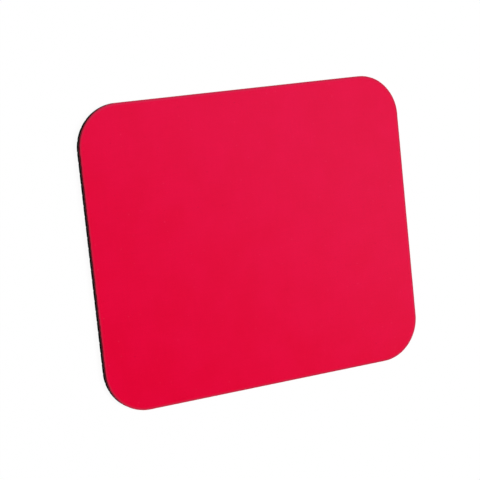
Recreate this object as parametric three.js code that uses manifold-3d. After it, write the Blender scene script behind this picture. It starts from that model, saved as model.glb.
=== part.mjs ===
// Cloth-topped mouse pad with rounded corners. Millimetres, +Z up.
// Three layers are laminated as one sheet and die-cut together: cloth, adhesive film, sponge rubber.
// The origin is the centre of the outline, at the surface that the pad lies on.
import * as THREE from 'three';
import { mergeVertices } from 'three/addons/utils/BufferGeometryUtils.js';
import Module from 'manifold-3d';

// Outline of the die
const padLength = 260;
const padWidth = 220;
const cornerRadius = 31.5;
const cornerSteps = 10;

// Cloth: its cut edge is pressed down and rounded over by the die
const clothThickness = 0.85;
const clothEdgeReach = 1.3;
const clothEdgeDrop = 0.42;
const clothEdgeSteps = 5;

// Adhesive film: its cut edge stays a little behind the wall
const filmThickness = 0.15;
const filmSetback = 0.2;

// Sponge rubber: its cut wall is drawn in at mid height, and its foot is eased
const foamThickness = 4;
const wallDrawIn = 0.3;
const wallSteps = 6;
const footRadius = 0.35;
const footSteps = 2;

// Tread: zigzag grooves moulded into the underside before the sheet is cut
const treadPitch = 7.5;
const treadWaveLength = 14;
const treadSwing = 4;
const treadMargin = 2.5;
const grooveWidth = 1.8;
const grooveDepth = 0.4;
const cutOverrun = 1;

const wasm = await Module();
wasm.setup();

const clothMaterial = new THREE.MeshStandardMaterial({ color: '#e20e3c', roughness: 0.95, metalness: 0 });
const filmMaterial = new THREE.MeshStandardMaterial({ color: '#c9b8b4', roughness: 0.5, metalness: 0 });
const foamMaterial = new THREE.MeshStandardMaterial({ color: '#16130f', roughness: 0.9, metalness: 0 });

// The die's outline, moved inwards by a setback, as points anticlockwise from above
function outlinePoints(setback) {
  const radius = cornerRadius - setback;
  const x = padLength / 2 - cornerRadius;
  const y = padWidth / 2 - cornerRadius;
  const quarter = Math.PI / 2;
  const outline = new THREE.Path();
  outline.absarc(x, y, radius, 0, quarter);
  outline.absarc(-x, y, radius, quarter, 2 * quarter);
  outline.absarc(-x, -y, radius, 2 * quarter, 3 * quarter);
  outline.absarc(x, -y, radius, 3 * quarter, 4 * quarter);
  return outline.getPoints(cornerSteps);
}

// A closed sheet from an edge profile: a list of { setback, height } from the lower face to the upper
function sheetSolid(edgeProfile) {
  const rings = edgeProfile.map(({ setback }) => outlinePoints(setback));
  const count = rings[0].length;
  const positions = rings.flatMap((ring, level) =>
    ring.flatMap(({ x, y }) => [x, y, edgeProfile[level].height]));
  const faces = [];
  for (let level = 0; level + 1 < rings.length; level++) {
    for (let i = 0; i < count; i++) {
      const next = (i + 1) % count;
      const [a, b] = [level * count + i, level * count + next];
      faces.push(a, b, b + count, a, b + count, a + count);
    }
  }
  const top = (rings.length - 1) * count;
  for (const [a, b, c] of THREE.ShapeUtils.triangulateShape(rings[0], [])) {
    faces.push(c, b, a);
    faces.push(top + a, top + b, top + c);
  }
  const geometry = new THREE.BufferGeometry();
  geometry.setAttribute('position', new THREE.Float32BufferAttribute(positions, 3));
  geometry.setIndex(faces);
  return geometry;
}

// A closed geometry as a solid that can be cut
function toSolid(geometry) {
  const bare = geometry.clone();
  bare.deleteAttribute('normal');
  bare.deleteAttribute('uv');
  const merged = mergeVertices(bare);
  return new wasm.Manifold(new wasm.Mesh({
    numProp: 3,
    vertProperties: new Float32Array(merged.attributes.position.array),
    triVerts: new Uint32Array(merged.index.array),
  }));
}

// A cut solid as a geometry
function toGeometry(solid) {
  const mesh = solid.getMesh();
  const geometry = new THREE.BufferGeometry();
  geometry.setAttribute('position', new THREE.BufferAttribute(mesh.vertProperties, 3));
  geometry.setIndex(new THREE.BufferAttribute(mesh.triVerts, 1));
  geometry.computeVertexNormals();
  return geometry;
}

// The zigzag line of one groove, from past one end of the pad to past the other
function groovePath() {
  const halfWave = treadWaveLength / 2;
  const runs = 2 * Math.ceil((padLength / 2 + treadWaveLength) / halfWave);
  const path = new THREE.CurvePath();
  const corner = (i) => new THREE.Vector3((i - runs / 2) * halfWave, (i % 2 - 1 / 2) * treadSwing, 0);
  for (let i = 0; i < runs; i++) {
    path.add(new THREE.LineCurve3(corner(i), corner(i + 1)));
  }
  return path;
}

// One V-shaped groove cutter: its point lies a groove's depth above the underside
function grooveCutter() {
  const section = new THREE.Shape();
  section.moveTo(-grooveDepth, 0);
  section.lineTo(0, -grooveWidth / 2);
  section.lineTo(cutOverrun, -grooveWidth / 2);
  section.lineTo(cutOverrun, grooveWidth / 2);
  section.lineTo(0, grooveWidth / 2);
  section.closePath();
  const path = groovePath();
  return new THREE.ExtrudeGeometry(section, { steps: path.curves.length, extrudePath: path });
}

// The sheet of sponge rubber with its tread
function foamGeometry() {
  const profile = [];
  for (let i = 0; i < footSteps; i++) {
    const turn = Math.PI / 2 * i / footSteps;
    profile.push({ setback: footRadius * (1 - Math.sin(turn)), height: footRadius * (1 - Math.cos(turn)) });
  }
  for (let i = 0; i <= wallSteps; i++) {
    const rise = i / wallSteps;
    const height = footRadius + rise * (foamThickness - footRadius);
    profile.push({ setback: wallDrawIn * Math.sin(Math.PI * rise), height });
  }
  let foam = toSolid(sheetSolid(profile));
  const groove = toSolid(grooveCutter());
  const firstToLast = padWidth - 2 * treadMargin - treadSwing - grooveWidth;
  const grooveGaps = Math.floor(firstToLast / treadPitch);
  for (let i = 0; i <= grooveGaps; i++) {
    foam = foam.subtract(groove.translate([0, (i - grooveGaps / 2) * treadPitch, 0]));
  }
  return toGeometry(foam);
}

// The film between cloth and rubber
function filmGeometry() {
  return sheetSolid([
    { setback: filmSetback, height: 0 },
    { setback: filmSetback, height: filmThickness },
  ]);
}

// The cloth, with its upper edge rounded over
function clothGeometry() {
  const profile = [{ setback: 0, height: 0 }];
  for (let i = 0; i <= clothEdgeSteps; i++) {
    const turn = Math.PI / 2 * i / clothEdgeSteps;
    profile.push({
      setback: clothEdgeReach * (1 - Math.cos(turn)),
      height: clothThickness - clothEdgeDrop * (1 - Math.sin(turn)),
    });
  }
  return sheetSolid(profile);
}

// A named layer, its underside at a height above the surface that the pad lies on
function layer(name, geometry, material, height) {
  const mesh = new THREE.Mesh(geometry, material);
  mesh.name = name;
  mesh.position.z = height;
  return mesh;
}

const mousePad = new THREE.Group();
mousePad.name = 'mouse_pad';
mousePad.add(layer('foam_base', foamGeometry(), foamMaterial, 0));
mousePad.add(layer('adhesive_film', filmGeometry(), filmMaterial, foamThickness));
mousePad.add(layer('cloth_top', clothGeometry(), clothMaterial, foamThickness + filmThickness));

export default mousePad;
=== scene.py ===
"""A mouse pad: red polyester cloth laminated to black sponge rubber, and die-cut to one outline.

The cloth and the sponge rubber are modelled here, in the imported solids' places, and the film
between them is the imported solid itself. Everything is in metres, +Z up, and the pad lies on z = 0.
"""
import math

import bpy
import numpy as np
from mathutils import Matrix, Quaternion, Vector


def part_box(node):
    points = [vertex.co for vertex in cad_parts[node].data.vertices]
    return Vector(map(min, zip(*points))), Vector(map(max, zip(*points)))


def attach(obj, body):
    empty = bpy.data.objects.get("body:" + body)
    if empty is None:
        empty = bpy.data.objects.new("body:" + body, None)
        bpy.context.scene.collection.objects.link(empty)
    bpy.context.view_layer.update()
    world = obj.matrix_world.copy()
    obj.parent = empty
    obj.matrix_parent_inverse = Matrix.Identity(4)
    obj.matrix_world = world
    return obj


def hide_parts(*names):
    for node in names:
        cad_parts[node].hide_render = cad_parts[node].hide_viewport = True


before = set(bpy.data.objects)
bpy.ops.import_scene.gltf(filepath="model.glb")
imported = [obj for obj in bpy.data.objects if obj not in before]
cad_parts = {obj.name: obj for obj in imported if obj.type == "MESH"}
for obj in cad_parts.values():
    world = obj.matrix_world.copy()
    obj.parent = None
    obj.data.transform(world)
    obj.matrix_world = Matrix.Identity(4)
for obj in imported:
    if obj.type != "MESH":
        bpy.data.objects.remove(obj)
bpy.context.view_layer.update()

MM = 0.001

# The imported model: its box, and where its layers lie
foam_low, foam_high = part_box("foam_base")
cloth_low, cloth_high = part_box("cloth_top")

# Outline of the die
HALF_SIDES = np.array([cloth_high.x, cloth_high.y])
CORNER_RADIUS = 31.5 * MM
CORE = HALF_SIDES - CORNER_RADIUS
DIE_AREA = 4 * HALF_SIDES.prod() - (4 - math.pi) * CORNER_RADIUS ** 2

# Cloth: its face
CLOTH_GRID = 201
CLOTH_RIPPLE = 0.025 * MM
CLOTH_RIPPLE_LENGTHS = (30 * MM, 110 * MM)
CLOTH_RIPPLE_FADE = 6
CLOTH_SEED = 11

# Cloth: its edge, which the die has pressed down, and the wall that it has cut
ROLL_REACH = 2.0 * MM
ROLL_DROP = 0.35 * MM
ROLL_ROWS = 9
CUT_ROWS = 4
CUT_WANDER = 0.05 * MM
CUT_WANDER_LENGTHS = (3 * MM, 24 * MM)
CUT_FRAY = 0.03 * MM
CUT_FRAY_LENGTHS = (2 * MM, 6 * MM)
CUT_SEED = 12
CRUMPLE_SIZE = 3 * MM
CRUMPLE_RANGE = (0.88, 1.06)
CRUSHED_AT = 0.78
# Painted shade on the left side's rolled edge: the part of the roll it covers, and the power of its
# fall-off away from the left
LEFT_SHADE_RANGE = (0.58, 0.8)
LEFT_SHADE_FADE = 4

# Cloth: its weave, and the knots in its yarn
THREAD_PITCH = 0.45 * MM
THREAD_SWAY = 0.3 * MM
THREAD_SWAY_SIZE = 6.25 * MM
SLUB_SCALE = 60
KNOT_SPACING = 9 * MM
KNOT_FRAY = 1.2 * MM
KNOT_FRAY_SIZE = 0.7 * MM
KNOT_CHANCE = 0.3
KNOT_RANGE = (0.02, 0.055)
KNOT_STRENGTH = 0.45

# Cut yarn ends along the cloth's edge
YARN_ENDS = 2600
YARN_SCATTER = 0.15 * MM
YARN_ROOT = 0.06 * MM
YARN_HEIGHTS = (0.05, 0.36)
YARN_REACH = (0.05 * MM, 0.22 * MM)
YARN_LEAN = 0.55
YARN_RISE = (-0.1, 0.35)
YARN_RADIUS = 0.024 * MM
YARN_THICKNESSES = (0.6, 1.3)
YARN_TAPER = (1.0, 0.8, 0.25)
YARN_STRAIGHT = 0.6
YARN_SEED = 21

# Sponge rubber: its wall
WALL_DRAW_IN = 0.3 * MM
FOOT_RADIUS = 0.2 * MM
WALL_ROWS = 12
WALL_ROW_SPREAD = 1.3
WALL_WANDER = 0.05 * MM
WALL_WANDER_LENGTHS = (4 * MM, 30 * MM)
WALL_WANDER_HOLD = 0.8
WALL_SEED = 31

# Sponge rubber: the tread moulded under it
TREAD_PITCH = 7.5 * MM
TREAD_WAVE = 14 * MM
TREAD_SWING = 4 * MM
TREAD_EASE = 0.97
GROOVES = 28
GROOVE_WIDTH = 1.8 * MM
GROOVE_DEPTH = 0.4 * MM
GROOVE_ROUND = 1.4

# Sponge rubber: the grid of its underside
COLUMNS_PER_WAVE = 12
ROWS_IN_GROOVE = (-1, -0.72, -0.36, 0, 0.36, 0.72, 1)
ROWS_ON_LAND = (0.25, 0.5, 0.75)
ROWS_BEYOND = 7
SLIVER = 0.06 * MM
HALVINGS = 40

# Studio
LIGHT_PLACE = (5.72, -0.14, 10.3)
LIGHT_SIZE = (7.24, 1.7)
LIGHT_WATTS = 1334
LIGHT_TURN = 51.0
WORLD_STRENGTH = 0.2
FLOOR_REACH = 4.0
FLOOR_GAP = 0.02 * MM
FLOOR_WHITE = 0.95
CAMERA_PLACE = (-0.47601, 0.1213, 0.97534)
CAMERA_TURN = (-3.5362, -25.9602, -6.5983)
CAMERA_LENS = 110.76
CAMERA_SENSOR = 36


# Shapes


def nearest_core(places):
    """The nearest point of the rectangle of corner centres, for places (n, 2)."""
    return np.clip(places, -CORE, CORE)


def outward(places):
    """The outline's unit normal at each place: from the nearest core point towards the place."""
    spoke = places - nearest_core(places)
    return spoke / np.maximum(np.hypot(*spoke.T), 1e-12)[:, None]


def at_setback(places, setback):
    """Each place moved to the outline shrunk by setback: core point + (radius - setback) x normal."""
    reach = CORNER_RADIUS - np.broadcast_to(setback, len(places))
    return nearest_core(places) + reach[:, None] * outward(places)


def ripple(places, lengths, seed, waves=7):
    """A smooth random height from about -1 to 1: a sum of sines over the plane, each with its own
    direction, phase and wavelength, from the shorter of the two lengths to the longer."""
    shortest, longest = lengths
    draw = np.random.default_rng(seed)
    length = np.exp(draw.uniform(math.log(shortest), math.log(longest), waves))
    turn = draw.uniform(0, 2 * math.pi, waves)
    phase = draw.uniform(0, 2 * math.pi, waves)
    k = 2 * math.pi / length * np.array([np.cos(turn), np.sin(turn)])
    return np.sin(places @ k + phase).sum(1) / math.sqrt(waves) / 2


def ring_strips(rings):
    """Quads between neighbouring rings, (rows, n) of vertex numbers, each row a closed loop."""
    after = np.roll(rings, -1, axis=1)
    quads = np.stack([rings[:-1], after[:-1], after[1:], rings[1:]], axis=-1)
    return quads.reshape(-1, 4)


def fan(loop, middle):
    """Triangles from each step of a closed loop of vertex numbers to a middle vertex."""
    return np.column_stack([loop, np.roll(loop, -1), np.full(len(loop), middle)])


def grid_quads(rows, columns):
    """The quads of a grid whose vertices are numbered row by row."""
    number = np.arange(rows * columns).reshape(rows, columns)
    quads = np.stack([number[:-1, :-1], number[:-1, 1:], number[1:, 1:], number[1:, :-1]], axis=-1)
    return quads.reshape(-1, 4)


def add_piece(name, places, parts, finishes, marks=None, sharp_degrees=50):
    """A mesh object from vertex places (n, 3). parts holds arrays of faces, each with the number of
    its finish. marks holds numbers for the vertices, which the finishes read."""
    mesh = bpy.data.meshes.new(name)
    faces = [face for array, _ in parts for face in array.tolist()]
    mesh.from_pydata(places.tolist(), [], faces)
    worn = np.concatenate([np.full(len(array), number) for array, number in parts])
    mesh.polygons.foreach_set("material_index", worn.astype(np.int32))
    for mark, values in (marks or {}).items():
        attribute = mesh.attributes.new(mark, "FLOAT", "POINT")
        attribute.data.foreach_set("value", np.asarray(values, np.float32))
    mesh.shade_smooth()
    mesh.set_sharp_from_angle(angle=math.radians(sharp_degrees))
    for finish in finishes:
        mesh.materials.append(finish)
    piece = bpy.data.objects.new(name, mesh)
    bpy.context.scene.collection.objects.link(piece)
    return piece


def outline_grid(count):
    """A square grid bent to the outline: each vertex's share of the way out (n,), the outline place
    that it points at (n, 2), and the grid's rim as vertex numbers, anticlockwise. The vertex (u, v)
    of the square lies on ring max(|u|, |v|), and each side of a ring runs along the outline from
    the middle of one corner's arc to the middle of the next, at an even step."""
    line = np.linspace(-1, 1, count)
    u, v = (axis.ravel() for axis in np.meshgrid(line, line))
    ring = np.maximum(np.abs(u), np.abs(v))
    side = np.select([u >= np.abs(v), v >= np.abs(u), -u >= np.abs(v)], [0, 1, 2], 3)
    step = np.choose(side, [v, -u, -v, u]) / np.maximum(ring, 1e-9)
    straight = np.where(side % 2 == 0, CORE[1], CORE[0])
    reach = np.where(side % 2 == 0, HALF_SIDES[0], HALF_SIDES[1])
    along = step * (straight + CORNER_RADIUS * math.pi / 4)
    turn = np.sign(along) * np.maximum(np.abs(along) - straight, 0) / CORNER_RADIUS
    front = reach - CORNER_RADIUS * (1 - np.cos(turn))
    across = np.clip(along, -straight, straight) + CORNER_RADIUS * np.sin(turn)
    cos, sin = np.cos(side * math.pi / 2), np.sin(side * math.pi / 2)
    aim = np.column_stack([front * cos - across * sin, front * sin + across * cos])
    number = np.arange(count * count).reshape(count, count)
    rim = np.concatenate([number[:-1, -1], number[-1, :0:-1], number[:0:-1, 0], number[0, :-1]])
    return ring, aim, rim


def make_cloth():
    """The cloth, closed: a face on a grid bent to the outline, with a faint ripple; an edge that
    rolls down over a quarter of an ellipse; a cut wall that wanders; and a flat back. Painted
    shade darkens the left side's edge most: the outward direction's share to the left, to a power."""
    ring, aim, rim = outline_grid(CLOTH_GRID)
    face = ring[:, None] * at_setback(aim, ROLL_REACH)
    lift = CLOTH_RIPPLE * ripple(face, CLOTH_RIPPLE_LENGTHS, CLOTH_SEED)
    lift = lift * (1 - ring ** CLOTH_RIPPLE_FADE)
    edge = face[rim]
    wander = CUT_WANDER * ripple(edge, CUT_WANDER_LENGTHS, CUT_SEED)

    turns = np.linspace(0, math.pi / 2, ROLL_ROWS)[1:]
    setbacks = [ROLL_REACH * (1 - np.sin(t)) + wander * np.sin(t) for t in turns]
    heights = [cloth_high.z - ROLL_DROP * (1 - np.cos(t)) for t in turns]
    rolled = list(np.sin(turns))
    cut_through = [0.0] * len(turns)
    shoulder = cloth_high.z - ROLL_DROP
    for row in range(1, CUT_ROWS + 1):
        fray = CUT_FRAY * ripple(edge, CUT_FRAY_LENGTHS, CUT_SEED + row)
        setbacks.append(wander + fray)
        heights.append(shoulder + (cloth_low.z - shoulder) * row / CUT_ROWS)
        rolled.append(1.0)
        cut_through.append(1.0)

    n, start = len(edge), len(face)
    rows = [np.column_stack([at_setback(edge, s), np.full(n, z)]) for s, z in zip(setbacks, heights)]
    back = np.array([[0, 0, cloth_low.z]])
    places = np.concatenate([np.column_stack([face, cloth_high.z + lift]), *rows, back])
    loops = np.concatenate([rim[None], start + np.arange(len(rows) * n).reshape(len(rows), n)])
    parts = [(grid_quads(CLOTH_GRID, CLOTH_GRID), 0), (ring_strips(loops)[:, ::-1], 0),
             (fan(loops[-1, ::-1], len(places) - 1), 0)]
    # Painted shade: the edge that faces left, away from the light, is darkened in its colour
    painted_left_shade = np.clip(-outward(edge)[:, 0], 0, 1) ** LEFT_SHADE_FADE
    marks = {"rolled": np.concatenate([np.zeros(start), np.repeat(rolled, n), [1.0]]),
             "painted_left_shade": np.concatenate([np.zeros(start), np.tile(painted_left_shade, len(rows)), [0.0]]),
             "cut": np.concatenate([np.zeros(start), np.repeat(cut_through, n), [1.0]])}
    return add_piece("cloth", places, parts, [red_cloth()], marks)


def make_yarn_ends():
    """Short cut yarn ends that stand out of the cloth's cut wall: each a thin three-sided spike
    along a bent line, closed at its root and its tip. A point of the line is
    root + way x outward + lean x way x along, and it sinks or rises by rise x way x share, where
    share goes from 0 at the root to 1 at the tip."""
    draw = np.random.default_rng(YARN_SEED)
    _, aim, rim = outline_grid(YARN_ENDS // 4 + 1)
    root = aim[rim] + draw.normal(0, YARN_SCATTER, (len(rim), 2))
    root = at_setback(root, YARN_ROOT)
    out = outward(root)
    along = np.column_stack([-out[:, 1], out[:, 0]])
    n = len(root)
    height = cloth_low.z + draw.uniform(*YARN_HEIGHTS, n) * MM
    reach = draw.uniform(*YARN_REACH, n)
    lean = draw.normal(0, YARN_LEAN, n)
    rise = draw.normal(*YARN_RISE, n)
    thick = YARN_RADIUS * draw.uniform(*YARN_THICKNESSES, n)
    share = np.array([0, 0.5, 1])[None, :, None]
    width = np.array(YARN_TAPER)[None, :, None]
    turn = (np.arange(3) * 2 * math.pi / 3)[None, None, :]
    way = reach[:, None, None] * share
    sideways = lean[:, None, None] * way * (YARN_STRAIGHT + (1 - YARN_STRAIGHT) * share)
    sideways = sideways + thick[:, None, None] * width * np.cos(turn)
    upward = rise[:, None, None] * way * share + thick[:, None, None] * width * np.sin(turn)
    way = np.broadcast_to(way, sideways.shape)
    flat = (root[:, None, None] + out[:, None, None] * way[..., None]
            + along[:, None, None] * sideways[..., None])
    places = np.concatenate([flat, (height[:, None, None] + upward)[..., None]], axis=-1)
    first = 9 * np.arange(n)[:, None]
    strips = np.array([[r + i, r + (i + 1) % 3, r + 3 + (i + 1) % 3, r + 3 + i]
                       for r in (0, 3) for i in range(3)])
    sides = (first[:, :, None] + strips[None]).reshape(-1, 4)
    caps = np.concatenate([first + np.array([[2, 1, 0]]), first + np.array([[6, 7, 8]])])
    return add_piece("cloth_yarn_ends", places.reshape(-1, 3), [(sides, 0), (caps, 0)], [cut_yarn()])


def zigzag(x):
    """The tread's line: a triangle wave with eased tips, arcsin(ease x cos(2 pi x / wave)),
    scaled to the swing, with a tip at the middle of the pad."""
    tip = math.asin(TREAD_EASE)
    return TREAD_SWING / 2 * np.arcsin(TREAD_EASE * np.cos(2 * math.pi * x / TREAD_WAVE)) / tip


def tread_height(places):
    """How far the underside lies above the ground: in each groove a rounded V,
    depth x cos(pi/2 x distance / half width) to a power, and nothing between grooves."""
    row = (places[:, 1] - zigzag(places[:, 0])) / TREAD_PITCH + (GROOVES - 1) / 2
    groove = np.clip(np.round(row), 0, GROOVES - 1)
    off = np.minimum(np.abs(row - groove) * TREAD_PITCH / (GROOVE_WIDTH / 2), 1)
    return GROOVE_DEPTH * np.cos(off * math.pi / 2) ** GROOVE_ROUND


def turned(triangles, chosen):
    """Triangles turned so that the vertex that is chosen in each comes first."""
    order = (chosen.argmax(axis=1)[:, None] + np.arange(3)) % 3
    return np.take_along_axis(triangles, order, axis=1)


def cut_to_outline(places, triangles, setback):
    """Triangles cut off along the outline shrunk by setback, and the places with the new vertices
    after the old. Each edge that runs from inside to outside is cut where its distance from the core
    rectangle is radius - setback, which is found by halving."""
    limit = CORNER_RADIUS - setback
    inside = np.hypot(*(places - nearest_core(places)).T) < limit
    number_in = inside[triangles].sum(axis=1)
    tips = triangles[number_in == 1]
    tips = turned(tips, inside[tips])
    stumps = triangles[number_in == 2]
    stumps = turned(stumps, ~inside[stumps])
    crossing = np.concatenate([tips[:, [0, 1]], tips[:, [0, 2]], stumps[:, [1, 0]], stumps[:, [2, 0]]])
    edges, same = np.unique(crossing, axis=0, return_inverse=True)
    low, high = places[edges[:, 0]], places[edges[:, 1]]
    for _ in range(HALVINGS):
        middle = (low + high) / 2
        near = (np.hypot(*(middle - nearest_core(middle)).T) < limit)[:, None]
        low, high = np.where(near, middle, low), np.where(near, high, middle)
    cut = len(places) + same.ravel()
    tip_1, tip_2 = cut[:2 * len(tips)].reshape(2, -1)
    stump_1, stump_2 = cut[2 * len(tips):].reshape(2, -1)
    whole = triangles[number_in == 3]
    kept = np.concatenate([
        whole,
        np.column_stack([tips[:, 0], tip_1, tip_2]),
        np.column_stack([stump_1, stumps[:, 1], stumps[:, 2]]),
        np.column_stack([stump_1, stumps[:, 2], stump_2]),
    ])
    return np.concatenate([places, at_setback(high, setback)]), kept


def tread_grid():
    """The underside from below as places (n, 2), its triangles and its rim as vertex numbers. A grid
    is sheared so that its rows run along the zigzag, and it is cut to the foot's outline."""
    across = np.array(ROWS_IN_GROOVE) * GROOVE_WIDTH / 2
    between = np.array(ROWS_ON_LAND) * (TREAD_PITCH - GROOVE_WIDTH) + GROOVE_WIDTH / 2
    centres = (np.arange(GROOVES) - (GROOVES - 1) / 2) * TREAD_PITCH
    lines = np.add.outer(centres, np.concatenate([across, between])).ravel()
    lines = lines[:-len(ROWS_ON_LAND)]
    beyond = np.linspace(lines[-1], HALF_SIDES[1] + TREAD_SWING, ROWS_BEYOND + 1)[1:]
    lines = np.concatenate([-beyond[::-1], lines, beyond])
    reach = math.ceil(HALF_SIDES[0] / TREAD_WAVE * COLUMNS_PER_WAVE)
    columns = np.arange(-reach, reach + 1) * TREAD_WAVE / COLUMNS_PER_WAVE
    x, line = np.meshgrid(columns, lines)
    grid = np.column_stack([x.ravel(), (line + zigzag(x)).ravel()])
    # A vertex that all but touches the outline is drawn in a little, so that no sliver is cut there
    gap = CORNER_RADIUS - FOOT_RADIUS - np.hypot(*(grid - nearest_core(grid)).T)
    close = np.abs(gap) < SLIVER
    grid[close] = at_setback(grid[close], FOOT_RADIUS + SLIVER)
    quads = grid_quads(len(lines), len(columns))
    triangles = np.concatenate([quads[:, [0, 1, 2]], quads[:, [0, 2, 3]]])
    places, triangles = cut_to_outline(grid, triangles, FOOT_RADIUS)
    used, triangles = np.unique(triangles, return_inverse=True)
    rim = np.nonzero(used >= len(grid))[0]
    places = places[used]
    rim = rim[np.argsort(np.arctan2(places[rim, 1], places[rim, 0]))]
    return places, triangles.reshape(-1, 3), rim


def make_foam():
    """The sponge rubber, closed: an underside with the tread; a foot rounded over a quarter circle;
    a wall drawn in by draw-in x sin(pi x share of its height), which wanders; and a flat top."""
    under, triangles, rim = tread_grid()
    floor = tread_height(under)
    edge, foot = under[rim], floor[rim]
    wander = WALL_WANDER * ripple(edge, WALL_WANDER_LENGTHS, WALL_SEED)
    rows = []
    for row in range(1, WALL_ROWS + 1):
        share = row / WALL_ROWS
        height = foot + (foam_high.z - foot) * share ** WALL_ROW_SPREAD
        rounded = FOOT_RADIUS * np.clip(1 - (height - foot) / FOOT_RADIUS, 0, 1) ** 2
        drawn = np.clip((height - FOOT_RADIUS) / (foam_high.z - FOOT_RADIUS), 0, 1)
        pull = WALL_DRAW_IN * np.sin(math.pi * drawn)
        sway = wander * math.sin(math.pi * min(share, WALL_WANDER_HOLD))
        rows.append(np.column_stack([at_setback(edge, rounded + (pull + sway)), height]))
    n, start = len(rim), len(under)
    top = np.array([[0, 0, foam_high.z]])
    places = np.concatenate([np.column_stack([under, floor]), *rows, top])
    loops = np.concatenate([rim[None], start + np.arange(len(rows) * n).reshape(len(rows), n)])
    parts = [(triangles[:, ::-1], 0), (ring_strips(loops), 1), (fan(loops[-1], len(places) - 1), 1)]
    return add_piece("foam", places, parts, [rubber_skin(), rubber_cut()])


# Finishes


def put(tree, kind, inputs=None, out=0, **settings):
    """Adds a node and returns one of its outputs. Inputs are values, or outputs of other nodes."""
    node = tree.nodes.new("ShaderNode" + kind)
    for name, value in settings.items():
        setattr(node, name, value)
    for socket, value in (inputs or {}).items():
        if isinstance(value, bpy.types.NodeSocket):
            tree.links.new(value, node.inputs[socket])
        else:
            node.inputs[socket].default_value = value
    return node.outputs[out]


def sums(tree, operation, *values):
    """One sum on numbers."""
    return put(tree, "Math", dict(enumerate(values)), operation=operation)


def stretch(tree, value, low, high, new_low=0.0, new_high=1.0, kind="SMOOTHSTEP"):
    """A number moved from the range low to high into a new range, and held there."""
    return put(tree, "MapRange", {0: value, 1: low, 2: high, 3: new_low, 4: new_high},
               interpolation_type=kind)


def blended(tree, share, first, second):
    """One colour turning into another."""
    return put(tree, "Mix", {0: share, 6: first, 7: second}, out=2, data_type="RGBA")


def mark(tree, name):
    """A number that the mesh holds for each vertex."""
    return put(tree, "Attribute", out="Fac", attribute_name=name)


def cloud(tree, place, size, detail=2.0):
    """Soft random patches of about a size, as numbers round 0.5."""
    return put(tree, "TexNoise", {"Vector": place, "Scale": 1 / size, "Detail": detail})


def scaled(tree, place, x, y, z):
    """A place multiplied along each axis."""
    return put(tree, "VectorMath", {0: place, 1: (x, y, z)}, operation="MULTIPLY")


def moved(tree, place, size, reach):
    """A place moved at random, by up to reach along each axis, in patches of about a size."""
    drift = put(tree, "TexNoise", {"Vector": place, "Scale": 1 / size, "Detail": 1.0}, out="Color")
    return put(tree, "VectorMath", {0: drift, 1: (reach,) * 3, 2: place}, operation="MULTIPLY_ADD")


def new_finish(name):
    """A material: itself, its node tree and its shader."""
    material = bpy.data.materials.new(name)
    material.use_nodes = True
    return material, material.node_tree, material.node_tree.nodes["Principled BSDF"]


def weave(tree, place, pitch):
    """The height of a plain weave, from 0 in its gaps to 1 on its threads. Both threads are
    |sin(pi x place / pitch)|, and the sign of the product of both sines says which lies over."""
    wave = put(tree, "VectorMath", {0: scaled(tree, place, *[math.pi / pitch] * 3)}, operation="SINE")
    ridge = put(tree, "VectorMath", {0: wave}, operation="ABSOLUTE")
    wave_x, wave_y = (put(tree, "SeparateXYZ", {0: wave}, out=axis) for axis in (0, 1))
    ridge_x, ridge_y = (put(tree, "SeparateXYZ", {0: ridge}, out=axis) for axis in (0, 1))
    over = stretch(tree, sums(tree, "MULTIPLY", wave_x, wave_y), -0.25, 0.25)
    return put(tree, "Mix", {0: over, 2: ridge_y, 3: ridge_x}, data_type="FLOAT")


def knotted(tree, place, dye):
    """The dye with small ragged knots in the yarn, a few of them darker and a few paler. A knot lies
    round the middle of each cell of a plane pattern that is drawn below a chance."""
    frayed = moved(tree, place, KNOT_FRAY_SIZE, KNOT_FRAY)
    cells = {"Vector": frayed, "Scale": 1 / KNOT_SPACING}
    distance, drawn = (put(tree, "TexVoronoi", cells, out=part, voronoi_dimensions="2D")
                       for part in ("Distance", "Color"))
    chance, shade = (put(tree, "SeparateColor", {0: drawn}, out=part) for part in ("Red", "Green"))
    dark_knot = (0.5, 0.0, 0.012, 1)
    pale_knot = (0.88, 0.04, 0.1, 1)
    knot = blended(tree, sums(tree, "GREATER_THAN", shade, 0.5), dark_knot, pale_knot)
    near = stretch(tree, distance, *KNOT_RANGE, KNOT_STRENGTH, 0.0)
    present = sums(tree, "LESS_THAN", chance, KNOT_CHANCE)
    return blended(tree, sums(tree, "MULTIPLY", near, present), dye, knot)


def worn_and_shaded_rim(tree, place, dye):
    """The dye along the rim: crushed and duller where the edge rolls down, and a painted shade, nearly
    black, on the left side's rolled edge. The cut wall is painted shade too: a nearly black red,
    darkest between the filaments."""
    crumple = stretch(tree, cloud(tree, place, CRUMPLE_SIZE), 0.3, 0.7, *CRUMPLE_RANGE)
    worn = sums(tree, "MULTIPLY", mark(tree, "rolled"), crumple)
    crushed_red = (0.54, 0.024, 0.064, 1)
    dye = blended(tree, stretch(tree, worn, 0.0, CRUSHED_AT, kind="LINEAR"), dye, crushed_red)
    # Painted shade, nearly black, on the outer roll of the left side's edge
    left_shade = sums(tree, "MULTIPLY", stretch(tree, worn, *LEFT_SHADE_RANGE), mark(tree, "painted_left_shade"))
    left_shade_red = (0.09, 0.004, 0.008, 1)
    dye = blended(tree, left_shade, dye, left_shade_red)
    # Painted shade: the cut wall is coloured a nearly black red instead of the cloth's own red,
    # darkest between the filaments
    filaments = cloud(tree, scaled(tree, place, 1, 1, 0.2), 0.35 * MM)
    filament_gap_shade = (0.02, 0.002, 0.004, 1)
    shaded_filament_end = (0.09, 0.008, 0.018, 1)
    core = blended(tree, stretch(tree, filaments, 0.35, 0.6), filament_gap_shade, shaded_filament_end)
    return blended(tree, mark(tree, "cut"), dye, core)


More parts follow.
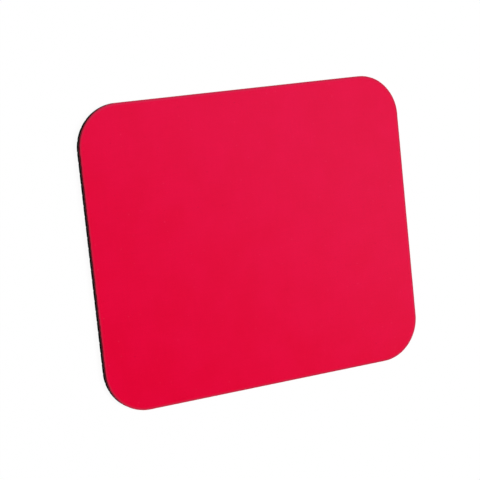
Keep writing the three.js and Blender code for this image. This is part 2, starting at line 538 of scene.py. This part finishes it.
def red_cloth():
    """A tight plain weave of dyed polyester, with painted shade in the gaps between its threads, slubs
    along both threads, uneven dye and knots.
    """
    material, tree, shader = new_finish("red_cloth")
    place = put(tree, "TexCoord", out="Object")
    swayed = moved(tree, place, THREAD_SWAY_SIZE, THREAD_SWAY)
    threads = weave(tree, swayed, THREAD_PITCH)
    across = 1 / THREAD_PITCH
    slubs_x = cloud(tree, scaled(tree, place, SLUB_SCALE, across, SLUB_SCALE), 1.0, 1.0)
    slubs_y = cloud(tree, scaled(tree, place, across, SLUB_SCALE, SLUB_SCALE), 1.0, 1.0)
    slubs = sums(tree, "MULTIPLY", slubs_x, slubs_y)
    patches = cloud(tree, place, 25 * MM, 3.0)

    deep_red = (0.818, 0.0, 0.0312, 1)
    full_red = (0.842, 0.0004, 0.038, 1)
    slub_red = (0.62, 0.0, 0.024, 1)
    gap_shade_red = (0.45, 0.0, 0.012, 1)
    dye = blended(tree, stretch(tree, patches, 0.3, 0.7), deep_red, full_red)
    dye = blended(tree, stretch(tree, slubs, 0.1, 0.4, 0.0, 0.11), dye, slub_red)
    # Painted shade in the gaps between the threads
    dye = blended(tree, stretch(tree, threads, 0.0, 0.8, 0.5, 0.0), dye, gap_shade_red)
    dye = knotted(tree, place, dye)
    dye = worn_and_shaded_rim(tree, place, dye)
    tree.links.new(dye, shader.inputs["Base Color"])

    relief = sums(tree, "ADD", threads, sums(tree, "MULTIPLY", slubs, 0.6))
    bump = put(tree, "Bump", {"Height": relief, "Strength": 0.5, "Distance": 0.012 * MM})
    tree.links.new(bump, shader.inputs["Normal"])
    shader.inputs["Roughness"].default_value = 0.3
    shader.inputs["Specular IOR Level"].default_value = 0.029
    shader.inputs["Specular Tint"].default_value = (0.26, 0.26, 1.0, 1)
    shader.inputs["Sheen Weight"].default_value = 0.8
    shader.inputs["Sheen Roughness"].default_value = 0.5
    shader.inputs["Sheen Tint"].default_value = (1.0, 0.03, 0.1, 1)
    return material


def cut_yarn():
    """Loose yarn ends, some dyed through and some pale."""
    material, tree, shader = new_finish("cut_yarn")
    place = put(tree, "TexCoord", out="Object")
    pick = stretch(tree, cloud(tree, place, 0.5 * MM, 0.0), 0.42, 0.58)
    dyed_through = (0.22, 0.005, 0.02, 1)
    pale = (0.5, 0.16, 0.2, 1)
    tree.links.new(blended(tree, pick, dyed_through, pale), shader.inputs["Base Color"])
    shader.inputs["Roughness"].default_value = 0.7
    shader.inputs["Specular IOR Level"].default_value = 0.2
    return material


def rubber_cut():
    """Sponge rubber where the die has cut it: open cells, with painted shade in their pits."""
    material, tree, shader = new_finish("sponge_rubber_cut")
    place = put(tree, "TexCoord", out="Object")
    cells = put(tree, "TexVoronoi", {"Vector": place, "Scale": 1 / (0.4 * MM)}, out="Distance")
    grain = cloud(tree, place, 0.15 * MM, 3.0)
    relief = sums(tree, "ADD", stretch(tree, cells, 0.1, 0.6), sums(tree, "MULTIPLY", grain, 0.4))
    # Painted shade in the pits of the open cells
    pit_shade_black = (0.004, 0.0035, 0.003, 1)
    cut_black = (0.016, 0.0145, 0.0135, 1)
    tone = blended(tree, stretch(tree, relief, 0.2, 1.2), pit_shade_black, cut_black)
    tree.links.new(tone, shader.inputs["Base Color"])
    bump = put(tree, "Bump", {"Height": relief, "Strength": 0.6, "Distance": 0.12 * MM})
    tree.links.new(bump, shader.inputs["Normal"])
    shader.inputs["Roughness"].default_value = 0.95
    shader.inputs["Specular IOR Level"].default_value = 0.03
    return material


def rubber_skin():
    """Sponge rubber's moulded skin: closed, finely grained, a little greyer where it is rubbed."""
    material, tree, shader = new_finish("sponge_rubber_skin")
    place = put(tree, "TexCoord", out="Object")
    grain = cloud(tree, place, 0.35 * MM, 4.0)
    rubbed = cloud(tree, place, 18 * MM, 4.0)
    low_black = (0.0095, 0.009, 0.0087, 1)
    high_black = (0.0145, 0.014, 0.0136, 1)
    rubbed_grey = (0.023, 0.022, 0.0215, 1)
    tone = blended(tree, stretch(tree, grain, 0.3, 0.7), low_black, high_black)
    tone = blended(tree, stretch(tree, rubbed, 0.5, 0.75, 0.0, 0.5), tone, rubbed_grey)
    tree.links.new(tone, shader.inputs["Base Color"])
    tree.links.new(stretch(tree, grain, 0.3, 0.7, 0.6, 0.78), shader.inputs["Roughness"])
    bump = put(tree, "Bump", {"Height": grain, "Strength": 0.5, "Distance": 0.06 * MM})
    tree.links.new(bump, shader.inputs["Normal"])
    shader.inputs["Specular IOR Level"].default_value = 0.3
    return material


def adhesive():
    """Milky hot-melt film."""
    material, tree, shader = new_finish("adhesive")
    place = put(tree, "TexCoord", out="Object")
    haze = stretch(tree, cloud(tree, place, 1.2 * MM), 0.35, 0.65)
    clear = (0.4, 0.3, 0.28, 1)
    milky = (0.56, 0.46, 0.44, 1)
    tree.links.new(blended(tree, haze, clear, milky), shader.inputs["Base Color"])
    shader.inputs["Roughness"].default_value = 0.5
    return material


# Studio


def seen_directly(tree):
    """1 for what the camera sees straight, in a gloss or through glass, else 0."""
    camera, gloss, glass = (put(tree, "LightPath", out="Is %s Ray" % kind)
                            for kind in ("Camera", "Glossy", "Transmission"))
    return sums(tree, "MAXIMUM", sums(tree, "MAXIMUM", camera, gloss), glass)


def make_floor():
    """A flat pale square. Seen directly it is nearly all white, with a little of the pad's shadow."""
    material, tree, shader = new_finish("floor")
    shader.inputs["Base Color"].default_value = (0.8, 0.8, 0.8, 1)
    shader.inputs["Roughness"].default_value = 1.0
    shader.inputs["Specular IOR Level"].default_value = 0.0
    shaded = put(tree, "BsdfDiffuse", {"Color": (1, 1, 1, 1)})
    white = put(tree, "Emission", {"Color": (1, 1, 1, 1), "Strength": 1.0})
    shown = put(tree, "MixShader", {0: FLOOR_WHITE, 1: shaded, 2: white})
    both = put(tree, "MixShader", {0: seen_directly(tree), 1: shader.outputs[0], 2: shown})
    tree.links.new(both, tree.nodes["Material Output"].inputs["Surface"])
    corners = FLOOR_REACH * np.array([[-1, -1, 0], [1, -1, 0], [1, 1, 0], [-1, 1, 0]])
    corners = corners - [0, 0, FLOOR_GAP]
    add_piece("floor", corners, [(np.array([[0, 1, 2, 3]]), 0)], [material])


def make_light():
    """One soft light in the shape of a long rectangle, high on the right. It faces the pad, and is
    turned about the line to it."""
    lamp = bpy.data.lights.new("light", "AREA")
    lamp.shape = "RECTANGLE"
    lamp.size, lamp.size_y = LIGHT_SIZE
    lamp.energy = LIGHT_WATTS
    light = bpy.data.objects.new("light", lamp)
    bpy.context.scene.collection.objects.link(light)
    light.location = LIGHT_PLACE
    facing = (-Vector(LIGHT_PLACE)).to_track_quat("-Z", "Y")
    light.rotation_euler = (facing @ Quaternion((0, 0, 1), math.radians(LIGHT_TURN))).to_euler()


def make_world():
    """Even light from all round, seen as white."""
    world = bpy.data.worlds.new("studio")
    bpy.context.scene.world = world
    world.use_nodes = True
    tree = world.node_tree
    light = put(tree, "Background", {"Color": (1, 1, 1, 1), "Strength": WORLD_STRENGTH})
    white = put(tree, "Background", {"Color": (1, 1, 1, 1), "Strength": 1.0})
    both = put(tree, "MixShader", {0: seen_directly(tree), 1: light, 2: white})
    tree.links.new(both, tree.nodes["World Output"].inputs["Surface"])


def make_camera():
    """The photograph's viewpoint, worked out from the pad's outline in it."""
    lens = bpy.data.cameras.new("camera")
    lens.sensor_width = CAMERA_SENSOR
    lens.lens = CAMERA_LENS
    camera = bpy.data.objects.new("camera", lens)
    bpy.context.scene.collection.objects.link(camera)
    camera.location = CAMERA_PLACE
    camera.rotation_euler = [math.radians(degrees) for degrees in CAMERA_TURN]
    bpy.context.scene.camera = camera


make_camera()
make_world()
make_floor()
make_light()

cloth = make_cloth()
yarn_ends = make_yarn_ends()
foam = make_foam()
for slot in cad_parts["adhesive_film"].material_slots:
    slot.material = adhesive()

for piece, slot in ((cloth, "red_cloth"), (yarn_ends, "red_cloth"), (foam, "sponge_rubber")):
    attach(piece, "root")
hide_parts("cloth_top")
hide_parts("foam_base")

bpy.context.scene.view_settings.view_transform = "Standard"
